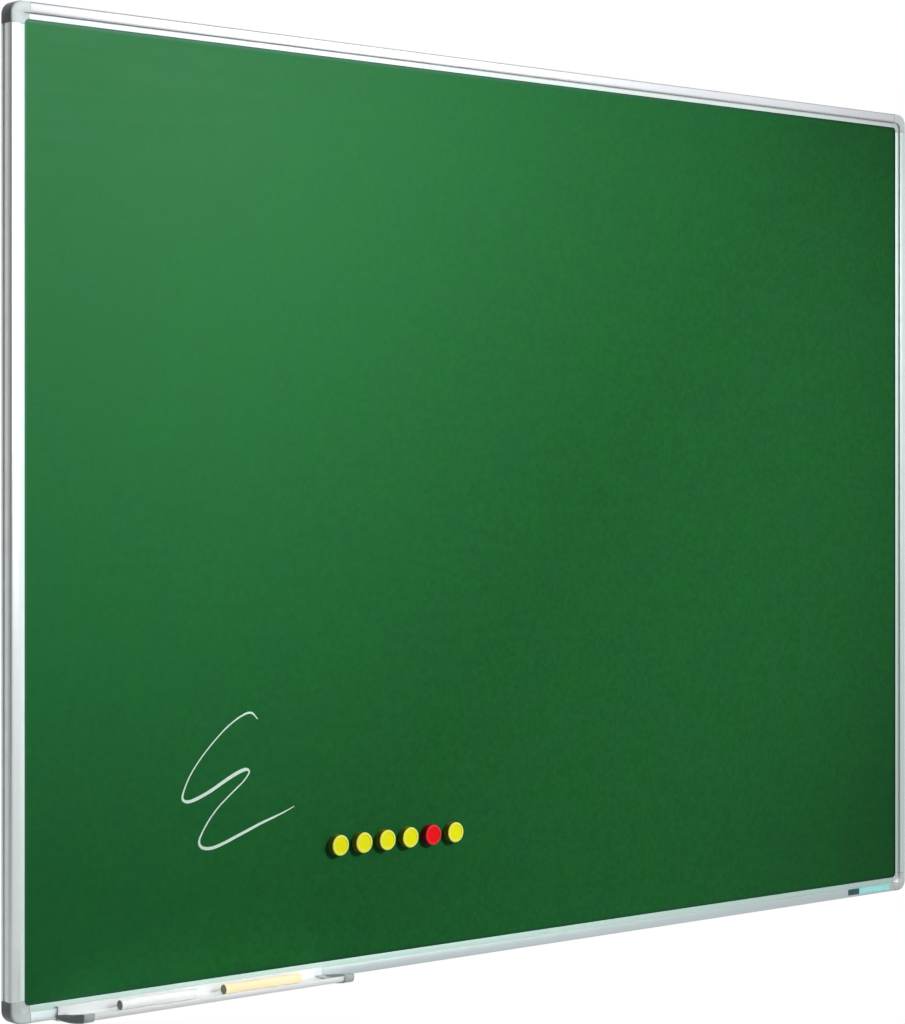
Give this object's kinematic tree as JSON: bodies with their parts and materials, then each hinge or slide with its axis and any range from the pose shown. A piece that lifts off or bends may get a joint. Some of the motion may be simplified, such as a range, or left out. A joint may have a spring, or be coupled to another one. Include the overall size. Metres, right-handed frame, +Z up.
{
  "type": "wall chalkboard",
  "caption": "Wall chalkboard: green enamelled steel panel in a slim aluminium frame with moulded corners, sliding chalk tray, chalk sticks and round magnets.",
  "frame": {"origin": "middle of the top rail's wall face, where the board bears on the wall", "axes": "+X to the right along the board as seen from the front, +Y into the wall, so the writing surface faces -Y, +Z up"},
  "size_m": [1.2, 0.0641, 0.9015],
  "materials": {
    "green_enamel": "matt",
    "core_board": "raw",
    "zinc_sheet": "satin",
    "anodised_aluminium": "satin",
    "grey_plastic": "matt",
    "hanger_steel": "satin",
    "yellow_plastic": "gloss",
    "red_plastic": "gloss",
    "ferrite": "matt",
    "white_chalk": "matt",
    "yellow_chalk": "matt"
  },
  "bodies": {
    "board": {"writing_sheet": "green_enamel", "panel_core": "core_board", "backing_sheet": "zinc_sheet", "bottom_rail": "anodised_aluminium", "left_rail": "anodised_aluminium", "top_rail": "anodised_aluminium", "right_rail": "anodised_aluminium", "corner_bottom_left": "grey_plastic", "corner_top_left": "grey_plastic", "corner_top_right": "grey_plastic", "corner_bottom_right": "grey_plastic", "hanger_bottom_left": "hanger_steel", "hanger_bottom_right": "hanger_steel", "hanger_top_left": "hanger_steel", "hanger_top_right": "hanger_steel"},
    "tray": {"tray_channel": "anodised_aluminium", "tray_end_cap_left": "grey_plastic", "tray_end_cap_right": "grey_plastic"},
    "white_stick": {"chalk_white": "white_chalk"},
    "yellow_stick": {"chalk_yellow": "yellow_chalk"},
    "magnet_1": {"magnet_cap_1": "yellow_plastic", "magnet_disc_1": "ferrite"},
    "magnet_2": {"magnet_cap_2": "yellow_plastic", "magnet_disc_2": "ferrite"},
    "magnet_3": {"magnet_cap_3": "yellow_plastic", "magnet_disc_3": "ferrite"},
    "magnet_4": {"magnet_cap_4": "yellow_plastic", "magnet_disc_4": "ferrite"},
    "magnet_5": {"magnet_cap_5": "red_plastic", "magnet_disc_5": "ferrite"},
    "magnet_6": {"magnet_cap_6": "yellow_plastic", "magnet_disc_6": "ferrite"}
  },
  "joints": [
    {"name": "tray_slide", "type": "slide", "parent": "board", "child": "tray", "axis": [1, 0, 0], "range_m": [-0.02, 0.74]},
    {"name": "white_chalk_lift", "type": "slide", "parent": "tray", "child": "white_stick", "axis": [0, 0, 1], "range_m": [0, 0.06]},
    {"name": "yellow_chalk_lift", "type": "slide", "parent": "tray", "child": "yellow_stick", "axis": [0, 0, 1], "range_m": [0, 0.06]},
    {"name": "magnet_1_pull", "type": "slide", "parent": "board", "child": "magnet_1", "axis": [0, -1, 0], "range_m": [0, 0.04]},
    {"name": "magnet_2_pull", "type": "slide", "parent": "board", "child": "magnet_2", "axis": [0, -1, 0], "range_m": [0, 0.04]},
    {"name": "magnet_3_pull", "type": "slide", "parent": "board", "child": "magnet_3", "axis": [0, -1, 0], "range_m": [0, 0.04]},
    {"name": "magnet_4_pull", "type": "slide", "parent": "board", "child": "magnet_4", "axis": [0, -1, 0], "range_m": [0, 0.04]},
    {"name": "magnet_5_pull", "type": "slide", "parent": "board", "child": "magnet_5", "axis": [0, -1, 0], "range_m": [0, 0.04]},
    {"name": "magnet_6_pull", "type": "slide", "parent": "board", "child": "magnet_6", "axis": [0, -1, 0], "range_m": [0, 0.04]}
  ]
}
